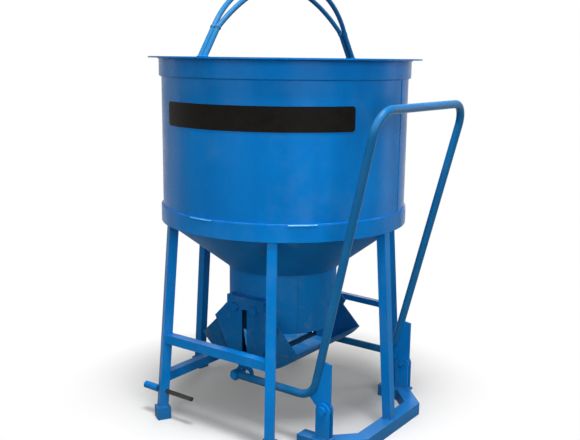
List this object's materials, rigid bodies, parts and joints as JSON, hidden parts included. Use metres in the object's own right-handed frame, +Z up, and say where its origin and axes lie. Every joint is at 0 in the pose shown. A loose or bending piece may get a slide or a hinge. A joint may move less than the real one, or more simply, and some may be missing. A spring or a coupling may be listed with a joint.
{
  "type": "concrete bucket",
  "caption": "Round steel concrete bucket on splayed legs, with a lifting bail, a tapered hopper and a bottom clamshell gate opened by a U-shaped hand lever.",
  "frame": {"origin": "on the ground under the drum's axis", "axes": "+Z up along the drum's axis, +X towards the lever, +Y from the front with the side rod to the rear"},
  "size_m": [1.2206, 1.104, 1.7749],
  "materials": {
    "body_paint": "glossy blue enamel",
    "gate_paint": "blue enamel dulled by cement splash",
    "pin_steel": "dark greased steel"
  },
  "bodies": {
    "bucket": {"drum_shell": "body_paint", "rim_flange": "body_paint", "upper_band": "body_paint", "lower_band": "body_paint", "cone": "body_paint", "throat": "gate_paint", "bail_hoop_left": "body_paint", "bail_hoop_right": "body_paint", "bail_posts_front": "body_paint", "bail_posts_rear": "body_paint", "leg_front_right": "body_paint", "leg_right": "body_paint", "leg_rear_right": "body_paint", "leg_rear_left": "body_paint", "leg_left": "body_paint", "leg_front_left": "body_paint", "foot_front_right": "body_paint", "foot_rear_right": "body_paint", "foot_rear_left": "body_paint", "foot_left": "body_paint", "foot_front_left": "body_paint", "brace_front": "body_paint", "brace_rear": "body_paint", "side_tube": "body_paint", "stop_rod": "pin_steel", "stop_grip": "body_paint", "lever_base": "body_paint", "bracket_front": "body_paint", "bracket_rear": "body_paint", "lever_pins": "pin_steel", "hanger_front": "gate_paint", "hanger_rear": "gate_paint", "jaw_pivot_bolts": "pin_steel"},
    "lever": {"lever_grip": "body_paint", "lever_arm_front": "body_paint", "lever_arm_rear": "body_paint", "lever_elbow_front": "body_paint", "lever_elbow_rear": "body_paint", "lever_plate_front": "body_paint", "lever_plate_rear": "body_paint", "lever_end_pins": "pin_steel"},
    "crosshead": {"crosshead_front": "gate_paint", "crosshead_rear": "gate_paint", "crosspin_front": "pin_steel", "crosspin_rear": "pin_steel"},
    "jaw_right": {"jaw_right_cheek_front": "gate_paint", "jaw_right_cheek_rear": "gate_paint", "jaw_right_pan": "gate_paint"},
    "jaw_left": {"jaw_left_cheek_front": "gate_paint", "jaw_left_cheek_rear": "gate_paint", "jaw_left_pan": "gate_paint"},
    "toggle_right": {"toggle_right_front": "gate_paint", "toggle_right_rear": "gate_paint"},
    "toggle_left": {"toggle_left_front": "gate_paint", "toggle_left_rear": "gate_paint"}
  },
  "joints": [
    {"name": "lever_swing", "type": "hinge", "parent": "bucket", "child": "lever", "pos_m": [0.43, 0, 0.168], "axis": [0, 1, 0], "range_deg": [0, 16]},
    {"name": "crosshead_lift", "type": "slide", "parent": "bucket", "child": "crosshead", "axis": [0, 0, 1], "range_m": [0, 0.1171]},
    {"name": "jaw_right_swing", "type": "hinge", "parent": "bucket", "child": "jaw_right", "pos_m": [0.05, 0, 0.47], "axis": [0, -1, 0], "range_deg": [0, 40.01]},
    {"name": "jaw_left_swing", "type": "hinge", "parent": "bucket", "child": "jaw_left", "pos_m": [-0.05, 0, 0.47], "axis": [0, 1, 0], "range_deg": [0, 40.01]},
    {"name": "toggle_right_turn", "type": "hinge", "parent": "crosshead", "child": "toggle_right", "pos_m": [0, 0, 0.271], "axis": [0, 1, 0], "range_deg": [0, 21.81]},
    {"name": "toggle_left_turn", "type": "hinge", "parent": "crosshead", "child": "toggle_left", "pos_m": [0, 0, 0.271], "axis": [0, -1, 0], "range_deg": [0, 21.81]}
  ],
  "couplings": [
    {"joint": "crosshead_lift", "follows": "lever_swing", "m_per_rad": 0.41897},
    {"joint": "jaw_right_swing", "follows": "lever_swing", "ratio": 2.5},
    {"joint": "jaw_left_swing", "follows": "lever_swing", "ratio": 2.5},
    {"joint": "toggle_right_turn", "follows": "lever_swing", "ratio": 1.3625},
    {"joint": "toggle_left_turn", "follows": "lever_swing", "ratio": 1.3625}
  ]
}
